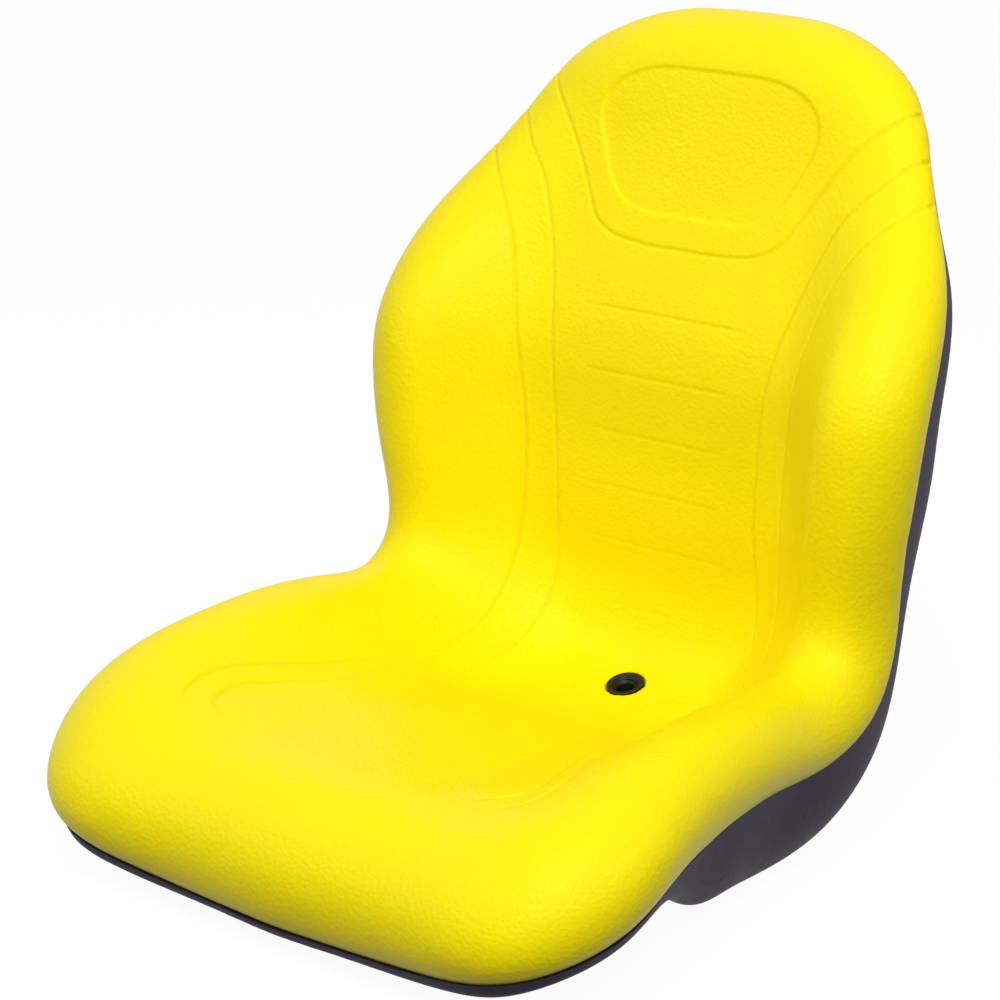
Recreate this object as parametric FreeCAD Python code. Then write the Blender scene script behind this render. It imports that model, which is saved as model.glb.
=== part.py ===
import FreeCAD, Part
import math
import os

# High-back bucket seat for a ride-on mower. Millimetres, +Z up, the front faces -Y.
# The origin is the middle of the four mounting threads, on the plane of their pads.

V = FreeCAD.Vector

# Side profile: a raked seat line, the turn behind the hips and a reclined back line.
# Stations count along it, from 0 where the seat line ends; the nose is negative.
SEAT_RAKE = math.radians(4.5)
BACK_RECLINE = math.radians(14.0)
TURN_RADIUS = 103.0
SEAT_END_Y = 30.0
SEAT_END_Z = 96.0

# Sitting face: station, centre above the profile, bolster rise, half-width of the flat
SITTING_FACE = [
    (-300, -14, 4, 95),
    (-230, 0, 18, 100),
    (-160, 2, 42, 105),
    (-90, 3, 54, 105),
    (-30, -4, 64, 95),
    (20, -18, 74, 80),
    (55, -33, 84, 65),
    (90, -44, 92, 60),
    (120, -29, 79, 75),
    (160, -8, 70, 95),
    (220, 8, 72, 103),
    (290, 24, 62, 103),
    (360, 17, 40, 100),
    (430, 8, 10, 80),
    (490, 7, -4, 60),
    (540, 0, 0, 60),
]
BOLSTER_CREST = 195.0
SITTING_SHARES = (1.0, 0.9, 0.78, 0.65, 0.52, 0.4, 0.3, 0.22, 0.155, 0.1, 0.055, 0.025, 0.008)

# Right half of the outline, nose to crown: station, half-width, then the soft edge
# there: width of the roll, its drop, the drop of the wall below it and the depth of the pan
NOSE_STATION = -292.0
CROWN_STATION = 545.0
OUTLINE = [
    (NOSE_STATION, 0, 52, 49, 34, 9),
    (NOSE_STATION, 105, 54, 48, 31, 9),
    (NOSE_STATION + 3, 200, 56, 46, 24, 11),
    (-224, 245, 55, 44, 31, 12),
    (-140, 239, 54, 42, 31, 29),
    (-60, 231, 53, 42, 25, 80),
    (20, 224, 52, 46, 18, 92),
    (75, 225, 50, 48, 14, 74),
    (140, 223, 50, 47, 15, 70),
    (215, 232, 50, 45, 20, 68),
    (290, 236, 50, 43, 24, 52),
    (370, 221, 48, 34, 20, 38),
    (440, 184, 46, 22, 12, 34),
    (501, 146, 44, 30, 16, 24),
    (537, 82, 42, 39, 19, 14),
    (CROWN_STATION, 0, 42, 42, 21, 12),
]
STATION_COUNT = 48
POLE_PASSES = 40
RIM_INSET = 12.0
WALL_SHARES = (1.0, 0.5)
ROLL_ANGLES = (0, 30, 60)

# Moulded pan: a level floor, then a back whose outer face stands off the profile
PAN_FLOOR = 3.0
PAN_BACK = [
    (80, -62),
    (200, -60),
    (300, -56),
    (400, -54),
    (480, -64),
    (545, -74),
]
PAN_TURN_SOFTNESS = 90.0
PAN_DEPTH_SOFTNESS = 20.0
PAN_RAY_LIMIT = 0.2
PAN_WALL = 4.0
CUSHION_GAP = 0.3

# Wall of the pan: share of its depth and share of its draft, then the rounded corner to the floor
PAN_DRAFT = 0.32
PAN_TUCK = 5.0
PAN_WALL_SHARES = [(0.0, 0.0), (0.35, 0.22), (0.7, 0.55), (0.92, 1.0), (1.0, 1.6)]
PAN_CORNER_SHARE = 0.55
PAN_FLOOR_SHARES = (1.0, 0.86, 0.7, 0.54, 0.4, 0.28, 0.19, 0.13, 0.09, 0.06, 0.035, 0.018, 0.006)

# Drain through the low point of the seat: an upright tube that plugs into a boss of the pan,
# with a flange that leans with the seat and a funnel mouth
DRAIN_STATION = 70.0
DRAIN_PAN_STATION = 49.0
DRAIN_LEAN = math.radians(17.0)
DRAIN_BORE_R = 6.5
DRAIN_FLANGE_R = 14.0
DRAIN_FLANGE_T = 2.0
DRAIN_FLANGE_RISE = 0.5
DRAIN_MOUTH_R = 10.5
DRAIN_MOUTH_DEPTH = 4.0
DRAIN_TUBE_R = 10.0
DRAIN_SPIGOT_R = 7.5
DRAIN_SPIGOT_LENGTH = 8.0
DRAIN_BOSS_R = 14.0
DRAIN_BOSS_TOP = 20.0
DRAIN_DRIP_LIP = 2.0
DRAIN_CLEAR = 30.0

# Mounting: four threaded inserts in bosses under the pan
BOLT_SPACING_X = 254.0
BOLT_SPACING_Y = 203.0
BOSS_R = 14.0
BOSS_HEIGHT = 24.0
INSERT_R = 6.0
INSERT_LENGTH = 18.0
THREAD_R = 4.0


def law(table, column, station):
    """Smooth value of one column of a station table."""
    rows = table
    station = min(max(station, rows[0][0]), rows[-1][0])
    i = 0
    while i < len(rows) - 2 and station > rows[i + 1][0]:
        i += 1
    x0, x1 = rows[i][0], rows[i + 1][0]
    y0, y1 = rows[i][column], rows[i + 1][column]
    step = x1 - x0
    t = (station - x0) / step
    m0 = slope(rows, column, i) * step
    m1 = slope(rows, column, i + 1) * step
    return (y0 * (1 + 2 * t) * (1 - t) ** 2 + m0 * t * (1 - t) ** 2
            + y1 * t * t * (3 - 2 * t) + m1 * t * t * (t - 1))


def slope(rows, column, i):
    """Slope of a table column at one row, from its neighbours; level at both ends."""
    if i == 0 or i == len(rows) - 1:
        return 0.0
    return (rows[i + 1][column] - rows[i - 1][column]) / (rows[i + 1][0] - rows[i - 1][0])


def profile(station, level, x):
    """Point at a station along the side profile and a level above it."""
    turn = math.pi / 2 - BACK_RECLINE + SEAT_RAKE
    angle = min(max(station / TURN_RADIUS, 0.0), turn)
    past = min(station, 0.0) + max(station - TURN_RADIUS * turn, 0.0)
    heading = angle - SEAT_RAKE
    ahead = V(0, math.cos(heading), math.sin(heading))
    above = V(0, -math.sin(heading), math.cos(heading))
    centre = V(0, SEAT_END_Y, SEAT_END_Z) + V(0, math.sin(SEAT_RAKE), math.cos(SEAT_RAKE)) * TURN_RADIUS
    return centre + above * (level - TURN_RADIUS) + ahead * past + V(x, 0, 0)


def ease(value):
    """Soft step from 0 to 1."""
    value = min(max(value, 0.0), 1.0)
    return value * value * (3 - 2 * value)


def sitting_level(station, x):
    """Level of the sitting face: the centre line plus the bolster beside the flat."""
    flat = law(SITTING_FACE, 3, station)
    rise = ease((abs(x) - flat) / (BOLSTER_CREST - flat))
    return law(SITTING_FACE, 1, station) + law(SITTING_FACE, 2, station) * rise


def outline_stations():
    """Even stations round the flat outline: place, outward direction and the edge sizes there."""
    corners = [V(row[0], row[1], 0) for row in OUTLINE]
    chords = [(b - a).Length for a, b in zip(corners, corners[1:])]
    parameters = [sum(chords[:i]) / sum(chords) for i in range(len(corners))]
    curve = Part.BSplineCurve()
    curve.interpolate(Points=corners, Parameters=parameters,
                      InitialTangent=V(0, 1, 0), FinalTangent=V(0, -1, 0))
    edges = [(along,) + row[2:] for along, row in zip(parameters, OUTLINE)]
    half = []
    for i in range(STATION_COUNT // 2 + 1):
        along = 2 * i / STATION_COUNT
        tangent = curve.tangent(along)[0]
        edge = [law(edges, column, along) for column in range(1, len(edges[0]))]
        half.append((curve.value(along), V(-tangent.y, tangent.x, 0), *edge))
    mirrored = [(V(s[0].x, -s[0].y, 0), V(s[1].x, -s[1].y, 0), *s[2:]) for s in half[-2:0:-1]]
    return half + mirrored


STATIONS = outline_stations()


def inset(station, distance):
    """Point of the flat outline moved inwards."""
    return station[0] - station[1] * distance


def towards(points, centre_station, share):
    """Flat ring part of the way from the drain to the given points."""
    eye = V(centre_station, 0, 0)
    return [eye + (point - eye) * share for point in points]


def sitting_point(flat, drop=0.0):
    return profile(flat.x, sitting_level(flat.x, flat.y) - drop, flat.y)


def cushion_top_rings():
    """Rings from the rim over the wall, the edge roll and the sitting face to the drain."""
    rings = []
    for share in WALL_SHARES:
        rings.append([sitting_point(inset(s, RIM_INSET * share ** 2), s[3] + s[4] * share)
                      for s in STATIONS])
    for degrees in ROLL_ANGLES:
        angle = math.radians(degrees)
        rings.append([sitting_point(inset(s, s[2] * (1 - math.cos(angle))), s[3] * (1 - math.sin(angle)))
                      for s in STATIONS])
    crest = [inset(s, s[2]) for s in STATIONS]
    for share in SITTING_SHARES:
        rings.append([sitting_point(flat) for flat in towards(crest, DRAIN_STATION, share)])
    return rings


def soft_min(first, second, softness):
    """Lesser of two values, rounded where they are nearly equal."""
    near = max(softness - abs(first - second), 0.0)
    return min(first, second) - near * near / (4 * softness)


def pan_level(station):
    """Level of the pan's outer face: the flat floor, rounded into the back."""
    turn = math.pi / 2 - BACK_RECLINE + SEAT_RAKE
    angle = min(max(station / TURN_RADIUS, 0.0), turn)
    back = law(PAN_BACK, 1, station)
    if angle == turn:
        return back
    heading = angle - SEAT_RAKE
    to_floor = (profile(min(station, 0.0), TURN_RADIUS, 0).z - PAN_FLOOR) / math.cos(heading)
    to_back = (TURN_RADIUS - back) / max(math.cos(turn - angle), PAN_RAY_LIMIT)
    return TURN_RADIUS - soft_min(to_floor, to_back, PAN_TURN_SOFTNESS)


def pan_rings(rim_gap, inward):
    """Two runs of rings for a pan face: the drafted wall, then the floor and back to the drain."""
    wall = [[] for _ in PAN_WALL_SHARES]
    corner = []
    for s in STATIONS:
        rim = inset(s, RIM_INSET)
        rim_level = sitting_level(rim.x, rim.y) - s[3] - s[4] - rim_gap
        lean = PAN_DRAFT * s[5] + PAN_TUCK
        foot = inset(s, RIM_INSET + PAN_WALL_SHARES[-1][1] * lean)
        depth = soft_min(s[5], rim_level - pan_level(foot.x), PAN_DEPTH_SOFTNESS)
        for ring, (share, draft) in zip(wall, PAN_WALL_SHARES):
            flat = inset(s, RIM_INSET + inward + draft * lean)
            ring.append(profile(flat.x, rim_level - (depth - inward) * share, flat.y))
        corner.append((flat, rim_level - depth + inward))
    floor = []
    for share in PAN_FLOOR_SHARES:
        flats = towards([flat for flat, _ in corner], DRAIN_PAN_STATION, share)
        blend = ease((share - PAN_CORNER_SHARE) / (1 - PAN_CORNER_SHARE))
        ring = []
        for flat, (_, level) in zip(flats, corner):
            base = pan_level(flat.x) + inward
            ring.append(profile(flat.x, base + (level - base) * blend, flat.y))
        floor.append(ring)
    return wall, floor


def ring_poles(ring):
    """Poles of the smooth closed curve that passes through a ring of points."""
    poles = list(ring)
    for _ in range(POLE_PASSES):
        poles = [(point * 6 - poles[i - 1] - poles[(i + 1) % len(ring)]) * 0.25
                 for i, point in enumerate(ring)]
    return poles


def skin(rings):
    """Smooth closed-ring face through the given rings."""
    columns = [list(column) for column in zip(*[ring_poles(ring) for ring in rings])]
    if len(rings) == 2:
        degree, knots, multiplicities = 1, [0.0, 1.0], [2, 2]
    else:
        steps = [sum((a[i] - b[i]).Length for i in range(len(a))) for a, b in zip(rings, rings[1:])]
        parameters = [sum(steps[:i]) / sum(steps) for i in range(len(rings))]
        lines = []
        for column in columns:
            line = Part.BSplineCurve()
            line.interpolate(Points=column, Parameters=parameters)
            lines.append(line)
        columns = [line.getPoles() for line in lines]
        degree, knots, multiplicities = 3, lines[0].getKnots(), lines[0].getMultiplicities()
    around = list(range(STATION_COUNT + 1))
    surface = Part.BSplineSurface()
    surface.buildFromPolesMultsKnots(columns, [1] * len(around), multiplicities, around, knots,
                                     True, False, 3, degree)
    return surface.toShape()


def closed_solid(faces):
    shell = Part.Shell(faces)
    shell.sewShape()
    solid = Part.Solid(shell)
    if solid.Volume < 0:
        solid.reverse()
    return solid


def drain_top():
    """Middle of the drain on the sitting face."""
    return sitting_point(V(DRAIN_STATION, 0, 0))


def drain_cylinder(radius, low, high):
    """Upright cylinder on the drain's axis between two heights."""
    return Part.makeCylinder(radius, high - low, V(0, drain_top().y, low))


def mouth_cone(start, radius, end, end_radius):
    """Round body square to the seat's face at the drain, between two depths below the face."""
    down = V(0, math.sin(DRAIN_LEAN), -math.cos(DRAIN_LEAN))
    place = drain_top() + down * start
    if radius == end_radius:
        return Part.makeCylinder(radius, end - start, place, down)
    return Part.makeCone(radius, end_radius, end - start, place, down)


def bolt_places():
    return [V(sx * BOLT_SPACING_X / 2, sy * BOLT_SPACING_Y / 2, 0) for sx in (-1, 1) for sy in (-1, 1)]


def make_cushion():
    """One moulding: foam and skin fill the pan and stand over its rim."""
    top = cushion_top_rings()
    wall, floor = pan_rings(0.0, PAN_WALL + CUSHION_GAP)
    cushion = closed_solid([skin(top), skin([top[0], wall[0]]), skin(wall), skin(floor),
                            skin([floor[-1], top[-1]])])
    above = drain_top().z + DRAIN_CLEAR
    cushion = cushion.cut(drain_cylinder(DRAIN_TUBE_R + CUSHION_GAP, 0, above))
    cushion = cushion.cut(drain_cylinder(DRAIN_BOSS_R + CUSHION_GAP, 0, DRAIN_BOSS_TOP + CUSHION_GAP))
    seat_r = DRAIN_FLANGE_R + CUSHION_GAP
    seat_depth = DRAIN_FLANGE_T - DRAIN_FLANGE_RISE + CUSHION_GAP
    cushion = cushion.cut(mouth_cone(-DRAIN_CLEAR, seat_r, seat_depth, seat_r))
    for place in bolt_places():
        cushion = cushion.cut(Part.makeCylinder(BOSS_R + CUSHION_GAP, BOSS_HEIGHT + CUSHION_GAP, place))
    return cushion


def make_pan():
    """Moulded shell with its drain boss and the four mounting bosses."""
    outer_wall, outer_floor = pan_rings(CUSHION_GAP, 0.0)
    inner_wall, inner_floor = pan_rings(CUSHION_GAP, PAN_WALL)
    pan = closed_solid([skin(outer_wall), skin(outer_floor), skin([outer_wall[0], inner_wall[0]]),
                        skin(inner_wall), skin(inner_floor), skin([inner_floor[-1], outer_floor[-1]])])
    pan = pan.fuse(drain_cylinder(DRAIN_BOSS_R, PAN_FLOOR - DRAIN_DRIP_LIP, DRAIN_BOSS_TOP))
    pan = pan.cut(drain_cylinder(DRAIN_SPIGOT_R, 0, DRAIN_BOSS_TOP))
    for place in bolt_places():
        pan = pan.fuse(Part.makeCylinder(BOSS_R, BOSS_HEIGHT, place))
        pan = pan.cut(Part.makeCylinder(INSERT_R, INSERT_LENGTH, place))
    return pan


def make_grommet():
    """Drain: a flange let into the seat, a funnel mouth, a tube and a spigot in the pan's boss."""
    middle = drain_top().z
    rise, lip = -DRAIN_FLANGE_RISE, DRAIN_FLANGE_T - DRAIN_FLANGE_RISE
    below_lip = mouth_cone(lip, DRAIN_FLANGE_R, lip + DRAIN_CLEAR + middle, DRAIN_FLANGE_R)
    tube = drain_cylinder(DRAIN_TUBE_R, DRAIN_BOSS_TOP, middle).common(below_lip)
    grommet = tube.fuse(mouth_cone(rise, DRAIN_FLANGE_R, lip, DRAIN_FLANGE_R))
    spigot = drain_cylinder(DRAIN_SPIGOT_R, DRAIN_BOSS_TOP - DRAIN_SPIGOT_LENGTH, DRAIN_BOSS_TOP)
    grommet = grommet.fuse(spigot)
    grommet = grommet.cut(mouth_cone(rise, DRAIN_MOUTH_R, rise + DRAIN_MOUTH_DEPTH, DRAIN_BORE_R))
    return grommet.cut(drain_cylinder(DRAIN_BORE_R, 0, middle + DRAIN_CLEAR))


def make_inserts():
    """Threaded bushes pressed into the bosses, flush with the pads."""
    bushes = []
    for place in bolt_places():
        bush = Part.makeCylinder(INSERT_R, INSERT_LENGTH, place)
        bushes.append(bush.cut(Part.makeCylinder(THREAD_R, INSERT_LENGTH, place)))
    return Part.makeCompound(bushes)


PARTS = {
    "cushion": make_cushion(),
    "seat_pan": make_pan(),
    "drain_grommet": make_grommet(),
    "mount_inserts": make_inserts(),
}
os.makedirs("parts", exist_ok=True)
for name, shape in PARTS.items():
    shape = shape.Solids[0] if len(shape.Solids) == 1 else shape
    shape.exportStep("parts/" + name + ".step")
    print(name, shape.ShapeType, len(shape.Solids), shape.isValid(), round(shape.Volume / 1000), "cm3")
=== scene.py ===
# %% [markdown]
# # A ride-on mower seat
# The real seat is two mouldings: a cushion of foam in a yellow vinyl skin, and a black pan that holds it.
# A rubber drain sits at the low point, and steel threads under the pan take the mounting bolts.
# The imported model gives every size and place. This lesson dresses it: first it is loaded as a fixed frame.

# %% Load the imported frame
import math

import bmesh
import bpy
from mathutils import Matrix, Vector
from mathutils.bvhtree import BVHTree
from mathutils.kdtree import KDTree


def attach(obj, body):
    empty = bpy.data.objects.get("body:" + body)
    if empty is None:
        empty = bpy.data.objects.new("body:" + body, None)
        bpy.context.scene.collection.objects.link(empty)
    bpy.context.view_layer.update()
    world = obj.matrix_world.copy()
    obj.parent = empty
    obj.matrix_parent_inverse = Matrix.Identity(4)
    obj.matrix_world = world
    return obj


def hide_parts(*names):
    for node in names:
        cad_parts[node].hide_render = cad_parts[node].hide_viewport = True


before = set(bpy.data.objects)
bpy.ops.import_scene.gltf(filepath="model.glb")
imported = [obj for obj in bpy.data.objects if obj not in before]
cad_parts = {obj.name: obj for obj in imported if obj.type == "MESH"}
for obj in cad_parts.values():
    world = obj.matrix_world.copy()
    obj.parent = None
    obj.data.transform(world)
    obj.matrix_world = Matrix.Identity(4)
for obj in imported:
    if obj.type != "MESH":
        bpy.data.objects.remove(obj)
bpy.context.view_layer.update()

MM = 0.001
print("nodes:", sorted(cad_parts))

# %% [markdown]
# ## The cushion
# The real cushion comes out of its mould as one soft, crowned form, so nothing on it has a hard edge.
# The CAD solid has the right form but is made of long thin triangles, which shade badly.
# A copy is remade from small even squares by a voxel remesh. That modifier is a recipe that Blender works out
# when it draws. The next steps need the finished points, so the recipe is worked in once and dropped.

# %% Remake the cushion from even squares
VOXEL = 5.0 * MM
SAME_PLACE = 0.01 * MM


def work_in_modifiers(piece):
    """Replaces the piece's mesh by the one that its modifiers make."""
    graph = bpy.context.evaluated_depsgraph_get()
    finished = bpy.data.meshes.new_from_object(piece.evaluated_get(graph))
    piece.modifiers.clear()
    rough = piece.data
    piece.data = finished
    bpy.data.meshes.remove(rough)


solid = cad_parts["cushion"]
cushion = bpy.data.objects.new("cushion_skin", solid.data.copy())
bpy.context.collection.objects.link(cushion)
shape = bmesh.new()
shape.from_mesh(cushion.data)
bmesh.ops.remove_doubles(shape, verts=shape.verts, dist=SAME_PLACE)
shape.to_mesh(cushion.data)
shape.free()
remesh = cushion.modifiers.new("even squares", "REMESH")
remesh.mode = "VOXEL"
remesh.voxel_size = VOXEL
work_in_modifiers(cushion)
print("cushion squares:", len(cushion.data.polygons))

# %% [markdown]
# ## Rounding like foam
# A remesh leaves small steps and a tight rim. Moving each point towards the middle of its neighbours, again
# and again, takes the steps away and rounds the rim as foam does. A bmesh holds the points meanwhile.

# %% Smooth the squares
SMOOTH_PASSES = 12
HALFWAY = 0.5


def relax(verts, passes):
    """Moves points of the shape halfway to the middle of their neighbours, several times over."""
    for _ in range(passes):
        bmesh.ops.smooth_vert(shape, verts=verts, factor=HALFWAY,
                              use_axis_x=True, use_axis_y=True, use_axis_z=True)


shape = bmesh.new()
shape.from_mesh(cushion.data)
relax(shape.verts, SMOOTH_PASSES)
print("points smoothed:", len(shape.verts))

# %% [markdown]
# ## A tape along the seat
# What is moulded into the skin is easiest to place as on the real seat, with a tape: so far from the middle,
# and so far along the side profile. The profile is a straight seat, an arc and a straight back, and its zero
# is the end of the straight seat. Two functions turn a place on the tape into a point in space, and back.

# %% The side profile, in millimetres
SEAT_RAKE = math.radians(4.5)
BACK_RECLINE = math.radians(14.0)
TURN = math.pi / 2 - BACK_RECLINE + SEAT_RAKE
TURN_RADIUS = 103.0
SEAT_END = Vector((0, 30.0, 96.0))
TURN_CENTRE = SEAT_END + TURN_RADIUS * Vector((0, math.sin(SEAT_RAKE), math.cos(SEAT_RAKE)))
DRAIN_MIDDLE = Vector((0, 118.6, 81.3)) * MM


def clamped(value, low, high):
    """The value, kept between low and high."""
    return min(max(value, low), high)


def ways(angle):
    """The ways ahead and up where the profile has turned by the angle."""
    heading = angle - SEAT_RAKE
    ahead = Vector((0, math.cos(heading), math.sin(heading)))
    above = Vector((0, -math.sin(heading), math.cos(heading)))
    return ahead, above


def profile(station, level, x):
    """Point in millimetres at a station along the profile and a level above it, and the way up there."""
    ahead, above = ways(clamped(station / TURN_RADIUS, 0.0, TURN))
    past = min(station, 0.0) + max(station - TURN_RADIUS * TURN, 0.0)
    return TURN_CENTRE + above * (level - TURN_RADIUS) + ahead * past + Vector((x, 0, 0)), above


def flat_place(point):
    """Width and station in millimetres of a point near the sitting face, which is given in metres."""
    point = point / MM
    across = Vector((0, point.y - TURN_CENTRE.y, point.z - TURN_CENTRE.z))
    angle = clamped(math.atan2(across.y, -across.z) + SEAT_RAKE, 0.0, TURN)
    ahead, _ = ways(angle)
    past = across.dot(ahead) if angle in (0.0, TURN) else 0.0
    return point.x, angle * TURN_RADIUS + past


print("drain's width and station:", tuple(round(c) for c in flat_place(DRAIN_MIDDLE)))

# %% [markdown]
# ## Softer thigh bolsters
# A skin drawn over foam has no tight hollow at the foot of a bolster. So the hollow is lifted and the crest's
# inner side is lowered, by a few millimetres each. The slope between them gets gentler, and the edge stays
# in place.

# %% Ease the slope beside the thighs: width from the middle, reach and lift in millimetres
HOLLOW = (112.0, 45.0, 5.0)
CREST = (178.0, 40.0, -3.5)
EASE_FROM, EASE_FULL, EASE_FADE, EASE_TO = -240.0, -185.0, -50.0, 40.0
UPWARD = 0.2


def soft(share):
    """Goes smoothly from 0 to 1 while the share goes from 0 to 1."""
    share = clamped(share, 0.0, 1.0)
    return share * share * (3 - 2 * share)


def hump(share):
    """Goes smoothly from 1 to 0 while the share goes from 0 to 1, and stays at 0."""
    return 0.5 + 0.5 * math.cos(math.pi * min(share, 1.0))


shape.normal_update()
eased = 0
for vert in shape.verts:
    x, station = flat_place(vert.co)
    if vert.normal.z < UPWARD or not EASE_FROM < station < EASE_TO:
        continue
    along = soft((station - EASE_FROM) / (EASE_FULL - EASE_FROM))
    along *= soft((EASE_TO - station) / (EASE_TO - EASE_FADE))
    for middle, reach, lift in (HOLLOW, CREST):
        vert.co.z += along * lift * MM * hump(abs(abs(x) - middle) / reach)
    eased += 1
print("points of the sitting face that were eased:", eased)

# %% [markdown]
# ## Finding a place on the skin
# The skin bulges above the profile, by how much isn't known beforehand. A ray is sent down from a level above
# the profile, and the place is where it meets the skin. A hit on a steep wall is past the edge, so it doesn't
# count.

# %% Places on the skin
RAY_START = 96.0
FACING = 0.35
SAMPLE_STATIONS = (-250, 0, 200, 450)
skin = BVHTree.FromBMesh(shape)


def on_skin(station, x):
    """Place on the cushion's sitting face in metres, or None beyond its edge."""
    start, above = profile(station, RAY_START, x)
    place, normal, _, _ = skin.ray_cast(start * MM, -above)
    return place if place is not None and normal.dot(above) > FACING else None


for station in SAMPLE_STATIONS:
    print("middle line at station", station, [round(c, 3) for c in on_skin(station, 0)])

# %% [markdown]
# ## Where the moulded lines run
# Fine lines are moulded into the skin: a double line round the sitting area, one under the head, short ones
# across the back, and a sunk panel for the head. Each is a few points on one half, joined by a smooth curve,
# and the other half mirrors it. A third number tells how deep the line is there, so that a line can fade out.

# %% Points of the lines: width, station, and depth where 1 is full
INNER_LINE = [(178, 457, 1), (164, 445, 1), (150, 428, 1), (132, 407, 1), (121, 384, 1), (109, 350, 1),
              (99, 310, 1), (93, 270, 1), (90, 228, 1), (88, 188, 1), (89, 157, 1), (90, 129, 0.9),
              (92, 100, 0.7), (95, 70, 0.5), (99, 30, 0.25), (101, -30, 0.1), (108, -90, 0.45),
              (126, -142, 1.1), (135, -166, 1.3), (137, -183, 1.3), (133, -200, 1), (120, -210, 0.5),
              (103, -214, 0.2), (86, -216, 0)]
OUTER_LINE = [(194, 430, 1), (180, 416, 1), (166, 401, 1), (151, 380, 1), (136, 348, 1), (124, 298, 1),
              (118, 255, 1), (115, 222, 1), (114, 188, 1), (115, 150, 1), (117, 123, 0.9), (118, 95, 0.7),
              (118, 60, 0.5), (119, 20, 0.25), (121, -30, 0.1), (126, -78, 0.45), (138, -123, 1.1),
              (151, -160, 1.3), (156, -184, 1.3), (154, -203, 1), (147, -215, 0.5), (136, -221, 0.2),
              (120, -225, 0)]
HEAD_LINE = [(160, 490, 1), (145, 473, 1), (124, 450, 1), (106, 424, 1), (91, 398, 1), (80, 381, 1),
             (62, 371, 1), (32, 367, 1), (0, 367, 1)]
HEAD_PANEL = [(0, 496, 1), (45, 495, 1), (70, 489, 1), (87, 478, 1), (94, 464, 1), (93, 450, 1),
              (86, 433, 1), (76, 412, 1), (60, 397, 1), (40, 391, 1), (0, 390, 1)]
print("long lines have", len(INNER_LINE), len(OUTER_LINE), len(HEAD_LINE), "points")

# %% Lines across the back (station, half length, depth), and smooth runs through all the points
BACK_LINES = [(319, 72, 0.6), (273, 64, 0.55), (230, 59, 0.5),
              (190, 61, 0.4), (150, 64, 0.32), (112, 63, 0.2)]
END_FADE = 14.0
STEP = 0.6


def smooth_run(points):
    """Points about a STEP apart on a smooth curve (a Catmull-Rom spline) through the given ones."""
    run = []
    for i in range(len(points) - 1):
        p0, p1, p2, p3 = (Vector(points[clamped(i + k, 0, len(points) - 1)]) for k in (-1, 0, 1, 2))
        count = max(int((p2 - p1).length / STEP), 2)
        for j in range(count):
            t = j / count
            run.append(0.5 * (2 * p1 + (p2 - p0) * t + (2 * p0 - 5 * p1 + 4 * p2 - p3) * t ** 2
                              + (3 * p1 - p0 - 3 * p2 + p3) * t ** 3))
    run.append(Vector(points[-1]))
    return run


def mirrored(run):
    """The same run on the other side of the middle."""
    return [Vector((-p[0], p[1], p[2])) for p in run]


long_runs = []
for line in (INNER_LINE, OUTER_LINE, HEAD_LINE):
    run = smooth_run(line)
    long_runs += [run, mirrored(run)]
back_runs = []
for station, reach, depth in BACK_LINES:
    run = smooth_run([(0, station, depth), (reach - END_FADE, station, depth), (reach, station, 0)])
    back_runs += [run, mirrored(run)]
print("line points:", sum(len(run) for run in long_runs + back_runs))

# %% [markdown]
# ## Lines over the rolled edge
# On the real seat the long lines don't stop at the rim: they notch the rolled edge. Rays from above don't
# reach round it, so there the rays come from all round a point inside the roll, as spokes do.

# %% Carry a line round the edge
EDGE_R = 16.0 * MM
EDGE_LOOK = 150.0 * MM
EDGE_DEGREES = range(2, 105)
LEAD_POINTS, AIM_POINT = 60, 15


def over_edge(run):
    """Places on the skin that carry a line from its first point round the rolled edge."""
    lead = [place for place in (on_skin(p[1], p[0]) for p in run[:LEAD_POINTS]) if place is not None]
    _, above = profile(run[0][1], 0, 0)
    outward = lead[0] - lead[AIM_POINT]
    outward = (outward - above * outward.dot(above)).normalized()
    middle = lead[0] - above * EDGE_R
    places = []
    for degrees in EDGE_DEGREES:
        way = above * math.cos(math.radians(degrees)) + outward * math.sin(math.radians(degrees))
        places.append(skin.ray_cast(middle + way * EDGE_LOOK, -way)[0])
    return places


edge_places = [place for run in long_runs for place in over_edge(run) if place is not None]
print("places on the rolled edge:", len(edge_places))

# %% [markdown]
# ## Finer squares beside the lines
# A groove about five millimetres wide needs points closer than the five-millimetre squares give.
# Cutting every square would make a heavy mesh, so only the squares beside a line are cut, twice.
# The ring round the drain's flange needs finer squares too, because the skin is tucked in there.

# %% Ring of the drain's flange
DRAIN_LEAN = math.radians(17.0)
DRAIN_UP = Vector((0, -math.sin(DRAIN_LEAN), math.cos(DRAIN_LEAN)))
DRAIN_AHEAD = Vector((0, math.cos(DRAIN_LEAN), math.sin(DRAIN_LEAN)))
TUCK_R = 15.0 * MM
RING_STEP = 2
drain_ring = []
for degrees in range(0, 360, RING_STEP):
    turn = math.radians(degrees)
    spoke = DRAIN_AHEAD * math.sin(turn) + Vector((math.cos(turn), 0, 0))
    drain_ring.append(DRAIN_MIDDLE + spoke * TUCK_R)
print("drain ring points:", len(drain_ring))

# %% Cut the squares beside the lines
EDGE_DEPTH = 1.5
CUT_REACH = (8.0 * MM, 4.8 * MM)
CUT_SMOOTH_PASSES = 3


def lookup(places):
    """A search tree that finds the nearest of the places."""
    search = KDTree(len(places))
    for index, place in enumerate(places):
        search.insert(place, index)
    search.balance()
    return search


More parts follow.
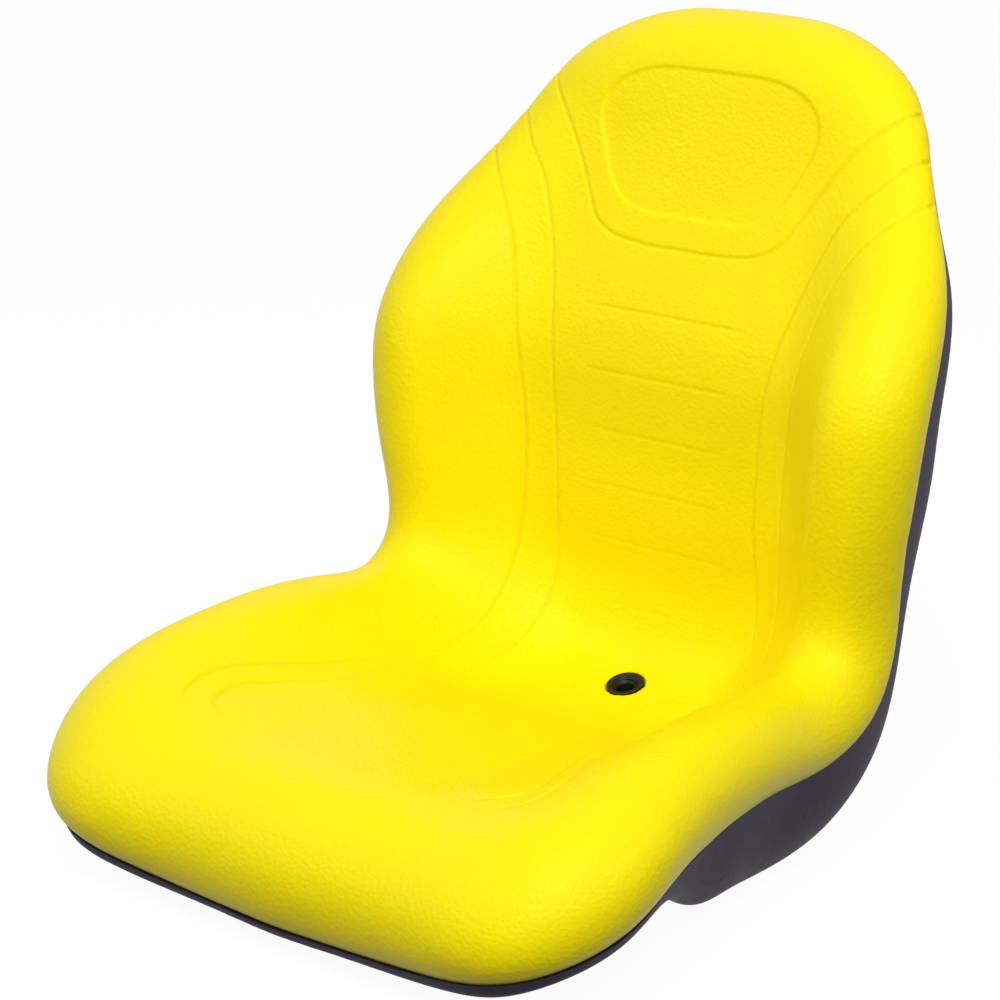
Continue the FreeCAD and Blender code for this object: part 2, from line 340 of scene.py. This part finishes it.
line_points = [(on_skin(p[1], p[0]), p[2]) for run in long_runs + back_runs for p in run]
line_points = [(place, depth) for place, depth in line_points if place is not None]
line_points += [(place, EDGE_DEPTH) for place in edge_places]
panel_half = smooth_run(HEAD_PANEL)
panel_run = panel_half + mirrored(panel_half)[::-1]
panel_places = [on_skin(p[1], p[0]) for p in panel_run]
near_cut = lookup([place for place, _ in line_points] + panel_places + drain_ring)
for reach in CUT_REACH:
    edges = [edge for edge in shape.edges
             if near_cut.find((edge.verts[0].co + edge.verts[1].co) / 2)[2] < reach]
    bmesh.ops.subdivide_edges(shape, edges=edges, cuts=1, use_grid_fill=True)
    relax([vert for vert in shape.verts if near_cut.find(vert.co)[2] < reach], CUT_SMOOTH_PASSES)
print("squares after cutting:", len(shape.faces))

# %% [markdown]
# ## Pressing the lines in
# The mould presses each line as a rounded groove, and the head panel as a low step down. So each point near
# a line moves inwards along its normal. How far it goes in is also kept on the point, for painted shade that
# darkens the vinyl's colour in the grooves.

# %% Which places lie in the head panel
PANEL_DEPTH = 1.5 * MM
PANEL_WALL = 1.7
PANEL_X, PANEL_FROM, PANEL_TO = 110.0, 380.0, 505.0
near_panel = lookup(panel_places)


def inside_panel(x, station):
    """Whether a place lies inside the closed outline of the head panel."""
    inside = False
    last = panel_run[-1]
    for p in panel_run:
        if (p[1] > station) != (last[1] > station):
            if x < p[0] + (station - p[1]) * (last[0] - p[0]) / (last[1] - p[1]):
                inside = not inside
        last = p
    return inside


def panel_depth(vert):
    """How far the head panel presses a point in, with a soft wall along its outline."""
    x, station = flat_place(vert.co)
    if abs(x) >= PANEL_X or not PANEL_FROM < station < PANEL_TO or vert.normal.y >= 0:
        return 0.0
    wall = near_panel.find(vert.co)[2] / MM
    side = wall if inside_panel(x, station) else -wall
    return PANEL_DEPTH * soft(0.5 + side / (2 * PANEL_WALL))


print("panel outline points:", len(panel_run))

# %% Press the grooves and the panel
LINE_HALF_WIDTH = 2.5 * MM
LINE_DEPTH = 1.1 * MM
FADED_WIDTH = 0.55
near_groove = lookup([place for place, _ in line_points])
shape.normal_update()
pressed = shape.verts.layers.float.new("pressed")
moves = []
for vert in shape.verts:
    _, index, distance = near_groove.find(vert.co)
    full = line_points[index][1]
    reach = LINE_HALF_WIDTH * (FADED_WIDTH + (1 - FADED_WIDTH) * full)
    depth = full * hump(distance / reach)
    vert[pressed] = depth
    move = depth * LINE_DEPTH + panel_depth(vert)
    if move:
        moves.append((vert, vert.normal * move))
for vert, move in moves:
    vert.co -= move
print("points pressed in:", len(moves))

# %% [markdown]
# ## The skin round the drain
# The drain's flange lies flush in a shallow dish at the low point, and holds the skin's cut edge under it.
# The smoothed skin is a little off there, so it is laid level with the flange, and tucked under it inside
# the ring.

# %% Lay the skin flush round the drain's flange and tuck it under
DISH_R = 143.0 * MM
FLUSH_R, EVEN_R = 20.0 * MM, 32.0 * MM
LOWEST, HIGHEST = -6.0 * MM, 9.0 * MM
TUCK_DEPTH = 2.0 * MM
TUCK_SLOPE = 1.2
flush = 0
for vert in shape.verts:
    place = vert.co - DRAIN_MIDDLE
    height = place.dot(DRAIN_UP)
    radius = (place - DRAIN_UP * height).length
    if radius > EVEN_R or not LOWEST < height < HIGHEST:
        continue
    wanted = place.dot(DRAIN_AHEAD) ** 2 / (2 * DISH_R)
    if radius < TUCK_R:
        wanted = min(height, -TUCK_DEPTH - TUCK_SLOPE * (TUCK_R - radius))
    vert.co += DRAIN_UP * ((wanted - height) * soft((EVEN_R - radius) / (EVEN_R - FLUSH_R)))
    flush += 1
shape.to_mesh(cushion.data)
shape.free()
cushion.data.shade_smooth()
print("points laid flush:", flush)

# %% [markdown]
# ## Building materials from nodes
# A material is a small net of nodes: patterns at one end, the shader at the other. The patterns are worked
# out from each piece's own coordinates, so no picture is needed. A few helpers add the nodes and join them.

# %% Helpers that add and join nodes
def new_material(name):
    """A new material with a Principled shader, its tree and that shader."""
    material = bpy.data.materials.new(name)
    material.use_nodes = True
    return material, material.node_tree, material.node_tree.nodes["Principled BSDF"]


def feed(tree, node, inputs):
    """Sets a node's inputs by name or number, or links those whose value is another node's output."""
    for key, value in inputs.items():
        if isinstance(value, bpy.types.NodeSocket):
            tree.links.new(value, node.inputs[key])
        else:
            node.inputs[key].default_value = value


def add_node(tree, kind, settings=None, **inputs):
    """Adds a node, sets its properties, then feeds its inputs by name."""
    node = tree.nodes.new(kind)
    for key, value in (settings or {}).items():
        setattr(node, key, value)
    feed(tree, node, {key.replace("_", " "): value for key, value in inputs.items()})
    return node


def wear(piece, material):
    """Puts one material on the whole piece."""
    piece.data.materials.clear()
    piece.data.materials.append(material)
    print(material.name, "on", piece.name)


# %% Helpers for patterns, each of which gives an output to link
MIX_SOCKETS = {"VECTOR": (4, 5, 1), "RGBA": (6, 7, 2)}


def own_place(tree):
    """Place in the piece's own coordinates."""
    return add_node(tree, "ShaderNodeTexCoord").outputs["Object"]


def noise(tree, place, scale, detail, output="Fac"):
    """A cloudy pattern from 0 to 1."""
    return add_node(tree, "ShaderNodeTexNoise", Vector=place, Scale=scale, Detail=detail).outputs[output]


def calculate(tree, operation, *values):
    """The result of one operation on numbers or outputs."""
    node = add_node(tree, "ShaderNodeMath", {"operation": operation})
    feed(tree, node, dict(enumerate(values)))
    return node.outputs[0]


def between(tree, share, low, high):
    """A number that goes from low to high with the share."""
    return add_node(tree, "ShaderNodeMapRange", Value=share, To_Min=low, To_Max=high).outputs[0]


def blend(tree, kind, share, first, second):
    """A colour or a vector that goes from the first to the second with the share."""
    node = add_node(tree, "ShaderNodeMix", {"data_type": kind})
    at_first, at_second, result = MIX_SOCKETS[kind]
    feed(tree, node, {0: share, at_first: first, at_second: second})
    return node.outputs[result]


def emboss(tree, height, strength, depth):
    """A normal that is tilted as a relief of that height would tilt it."""
    return add_node(tree, "ShaderNodeBump", Height=height, Strength=strength, Distance=depth).outputs[0]


# %% [markdown]
# ## Yellow vinyl
# The skin is a satin vinyl with a fine leather grain. The colour is even, with painted shade that makes it a
# little deeper in the lines.
# The grain is a field of small rounded cells. Its height goes to a bump, which changes how light falls on the
# surface and leaves the mesh as it is.

# %% Leather grain: patterns per metre and their shares
CELLS, CELL_SOFTNESS = 340.0, 0.6
DRIFT, DRIFT_SHARE = 300.0, 0.0015
PORES, PORE_SHARE = 1400.0, 0.35
GRAIN_STRENGTH, GRAIN_DEPTH = 0.7, 0.5 * MM

vinyl, tree, shader = new_material("yellow vinyl")
place = own_place(tree)
drift = noise(tree, place, DRIFT, detail=2.0, output="Color")
bent = blend(tree, "VECTOR", DRIFT_SHARE, place, drift)
cells = add_node(tree, "ShaderNodeTexVoronoi", {"feature": "SMOOTH_F1"}, Vector=bent, Scale=CELLS,
                 Smoothness=CELL_SOFTNESS)
pores = noise(tree, place, PORES, detail=3.0)
grain = calculate(tree, "MULTIPLY_ADD", pores, PORE_SHARE, cells.outputs["Distance"])
feed(tree, shader, {"Normal": emboss(tree, grain, GRAIN_STRENGTH, GRAIN_DEPTH)})
print("grain cells are about", round(1 / (CELLS * MM), 1), "mm wide")

# %% Vinyl colour with painted shade in the grooves, and gloss
VINYL_YELLOW = (0.95, 0.785, 0.002, 1)
# The darker yellow serves both the random tone and the painted shade in the grooves.
VINYL_DEEP_AND_SHADE = (0.86, 0.69, 0.001, 1)
VINYL_GLINT = (1.0, 0.94, 0.36, 1)
VINYL_ROUGHNESS = (0.38, 0.46)
VINYL_SHINE = 0.24
CLOUDS, CLOUD_SHARE = 9.0, 0.10
# How strongly the grooves are darkened with painted shade.
GROOVE_SHADE_SHARE = 0.7

clouds = noise(tree, place, CLOUDS, detail=3.0)
groove = add_node(tree, "ShaderNodeAttribute", {"attribute_name": "pressed"}).outputs["Fac"]
# Painted shade: the vinyl is darkened along the grooves, by how deep each point was pressed in.
groove_shade = calculate(tree, "MULTIPLY", groove, GROOVE_SHADE_SHARE)
tone_and_groove_shade = calculate(tree, "MULTIPLY_ADD", clouds, CLOUD_SHARE, groove_shade)
feed(tree, shader, {"Base Color": blend(tree, "RGBA", tone_and_groove_shade, VINYL_YELLOW, VINYL_DEEP_AND_SHADE),
                    "Roughness": between(tree, clouds, *VINYL_ROUGHNESS),
                    "Specular IOR Level": VINYL_SHINE,
                    "Specular Tint": VINYL_GLINT})
wear(cushion, vinyl)
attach(cushion, "root")
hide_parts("cushion")

# %% [markdown]
# ## The rigid pieces
# The pan, the drain and the threads keep their CAD shapes. Their meshes are loose triangles, so a Weld joins
# them and an Edge Split keeps the real edges crisp, which lets the curved walls shade smoothly between.

# %% Smooth the CAD pieces
CREASE = math.radians(35)


def shade_rigid(name):
    """Shades a CAD piece smoothly between its real edges and returns it."""
    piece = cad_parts[name]
    piece.data.polygons.foreach_set("use_smooth", [True] * len(piece.data.polygons))
    weld = piece.modifiers.new("weld", "WELD")
    weld.merge_threshold = SAME_PLACE
    split = piece.modifiers.new("crisp edges", "EDGE_SPLIT")
    split.split_angle = CREASE
    return piece


pan = shade_rigid("seat_pan")
drain = shade_rigid("drain_grommet")
threads = shade_rigid("mount_inserts")
print("rigid pieces:", pan.name, drain.name, threads.name)

# %% [markdown]
# ## Black moulded plastic
# The pan has a fine stipple from its mould and a slightly violet black. The stipple is small cells with finer
# specks on them, given as a bump. Light scuffs make the tone and the gloss uneven.

# %% Pan material
STIPPLE, SPECKS, SCUFFS = 900.0, 2200.0, 70.0
STIPPLE_STRENGTH, STIPPLE_DEPTH = 0.5, 0.25 * MM
PAN_TONES = ((0.012, 0.008, 0.018, 1), (0.074, 0.058, 0.098, 1))
PAN_ROUGHNESS = (0.46, 0.64)
PAN_SHINE = 0.08

plastic, tree, shader = new_material("black textured plastic")
place = own_place(tree)
stipple = add_node(tree, "ShaderNodeTexVoronoi", Vector=place, Scale=STIPPLE).outputs["Distance"]
height = calculate(tree, "ADD", stipple, noise(tree, place, SPECKS, detail=2.0))
scuffs = noise(tree, place, SCUFFS, detail=6.0)
feed(tree, shader, {"Base Color": blend(tree, "RGBA", scuffs, *PAN_TONES),
                    "Roughness": between(tree, scuffs, *PAN_ROUGHNESS),
                    "Normal": emboss(tree, height, STIPPLE_STRENGTH, STIPPLE_DEPTH),
                    "Specular IOR Level": PAN_SHINE})
wear(pan, plastic)

# %% [markdown]
# ## Rubber drain and zinc threads
# The drain is soft black rubber with a dull bloom. The bushes are zinc plated steel, and their thread is too
# fine for the mesh, so a wave along the bore gives it as a bump.

# %% Rubber material
BLOOM = 160.0
BLOOM_STRENGTH, BLOOM_DEPTH = 0.15, 0.1 * MM
RUBBER_TONES = ((0.004, 0.004, 0.004, 1), (0.011, 0.011, 0.010, 1))
RUBBER_ROUGHNESS = (0.38, 0.55)
RUBBER_SHINE = 0.2

rubber, tree, shader = new_material("black rubber")
bloom = noise(tree, own_place(tree), BLOOM, detail=4.0)
feed(tree, shader, {"Base Color": blend(tree, "RGBA", bloom, *RUBBER_TONES),
                    "Roughness": between(tree, bloom, *RUBBER_ROUGHNESS),
                    "Normal": emboss(tree, bloom, BLOOM_STRENGTH, BLOOM_DEPTH),
                    "Specular IOR Level": RUBBER_SHINE})
wear(drain, rubber)

# %% Zinc material
THREAD, SPANGLE = 250.0, 600.0
THREAD_STRENGTH, THREAD_DEPTH = 0.4, 0.4 * MM
ZINC_TONES = ((0.50, 0.49, 0.46, 1), (0.62, 0.61, 0.58, 1))
ZINC_ROUGHNESS = (0.28, 0.42)

zinc, tree, shader = new_material("zinc plated steel")
place = own_place(tree)
thread = add_node(tree, "ShaderNodeTexWave", {"bands_direction": "Z"}, Vector=place, Scale=THREAD)
spangle = noise(tree, place, SPANGLE, detail=3.0)
feed(tree, shader, {"Base Color": blend(tree, "RGBA", spangle, *ZINC_TONES),
                    "Roughness": between(tree, spangle, *ZINC_ROUGHNESS),
                    "Normal": emboss(tree, thread.outputs["Fac"], THREAD_STRENGTH, THREAD_DEPTH),
                    "Metallic": 1.0})
wear(threads, zinc)

# %% [markdown]
# ## Floor
# The seat stands on a wide sheet of white paper, as in a product studio. Paper that is lit white would throw
# much light up under the seat. So what the camera or a reflection sees is bright, and what lights the seat is
# a dull grey. A small share of plain paper stays in the bright part, and takes the seat's soft shadow.

# %% Floor
FLOOR_SIDE = 12.0
DULL_PAPER = (0.12, 0.12, 0.12, 1)
WHITE_PAPER = (0.95, 0.95, 0.95, 1)
PAPER_ROUGHNESS, PAPER_SHINE = 0.9, 0.1
WHITE = (1, 1, 1, 1)
GLOW_SHARE, GLOW = 0.9, 1.05


def seen_rays(tree):
    """1 for a ray that the camera sees, straight, mirrored or through glass, and 0 for others."""
    path = add_node(tree, "ShaderNodeLightPath").outputs
    indirect = calculate(tree, "MAXIMUM", path["Is Glossy Ray"], path["Is Transmission Ray"])
    return calculate(tree, "MAXIMUM", path["Is Camera Ray"], indirect)


sweep = bmesh.new()
bmesh.ops.create_grid(sweep, x_segments=2, y_segments=2, size=FLOOR_SIDE / 2)
floor_mesh = bpy.data.meshes.new("floor")
sweep.to_mesh(floor_mesh)
sweep.free()
floor = bpy.data.objects.new("floor", floor_mesh)
bpy.context.collection.objects.link(floor)
paper, tree, shader = new_material("white paper")
seen = seen_rays(tree)
feed(tree, shader, {"Base Color": blend(tree, "RGBA", seen, DULL_PAPER, WHITE_PAPER),
                    "Roughness": PAPER_ROUGHNESS,
                    "Specular IOR Level": PAPER_SHINE})
glow = add_node(tree, "ShaderNodeEmission", Color=WHITE, Strength=GLOW).outputs[0]
surface = add_node(tree, "ShaderNodeMixShader")
feed(tree, surface, {0: calculate(tree, "MULTIPLY", seen, GLOW_SHARE), 1: shader.outputs[0], 2: glow})
feed(tree, tree.nodes["Material Output"], {"Surface": surface.outputs[0]})
wear(floor, paper)

# %% [markdown]
# ## Light
# Broad soft lamps give the cushion its smooth shading. The key lamp stands at the front right, and weaker
# ones fill the left, the right side and the top. The surroundings look white, but give only a dim light.

# %% World and lamps: name, place and aim in metres, side in metres and power in watts
WORLD_LIGHT = (0.27, 1.0)
LAMPS = [("key", (1.0, -1.45, 2.25), (0, 0, 0.28), 1.4, 48),
         ("fill", (-1.4, -1.7, 1.8), (0, 0, 0.3), 1.8, 14),
         ("side", (1.9, -0.2, 1.4), (0, 0, 0.2), 1.2, 10),
         ("top", (0.0, 0.1, 2.4), (0, 0, 0.2), 1.8, 3)]

world = bpy.data.worlds.new("studio")
bpy.context.scene.world = world
world.use_nodes = True
tree = world.node_tree
light = between(tree, seen_rays(tree), *WORLD_LIGHT)
feed(tree, tree.nodes["Background"], {"Color": WHITE, "Strength": light})
for name, place, aim, side, power in LAMPS:
    data = bpy.data.lights.new(name, "AREA")
    data.shape = "SQUARE"
    data.size = side
    data.energy = power
    stand = bpy.data.objects.new(name, data)
    bpy.context.collection.objects.link(stand)
    stand.location = place
    stand.rotation_euler = (Vector(aim) - Vector(place)).to_track_quat("-Z", "Y").to_euler()
    print(name, "lamp of", power, "watts")

# %% [markdown]
# ## Camera
# The camera stands a little above the seat and to its right front, with a long lens, as the picture was
# taken. Two angles give the way back from the middle of the seat to the camera.

# %% Camera
AZIMUTH = math.radians(39.693)
PITCH = math.radians(17.33)
DISTANCE = 2.048
LENS, SENSOR = 110.0, 36.0
AIM = Vector((0, -0.046, 0.261))
SHIFT = 0.014

right = Vector((math.cos(AZIMUTH), math.sin(AZIMUTH), 0))
back = Vector((math.sin(AZIMUTH) * math.cos(PITCH), -math.cos(AZIMUTH) * math.cos(PITCH), math.sin(PITCH)))
turned = Matrix((right, back.cross(right), back)).transposed().to_4x4()
lens = bpy.data.cameras.new("camera")
lens.sensor_width = SENSOR
lens.lens = LENS
camera = bpy.data.objects.new("camera", lens)
bpy.context.collection.objects.link(camera)
camera.matrix_world = Matrix.Translation(AIM + right * SHIFT + back * DISTANCE) @ turned
bpy.context.scene.camera = camera
bpy.context.scene.view_settings.view_transform = "Standard"
print("camera at", tuple(round(c, 3) for c in camera.location))
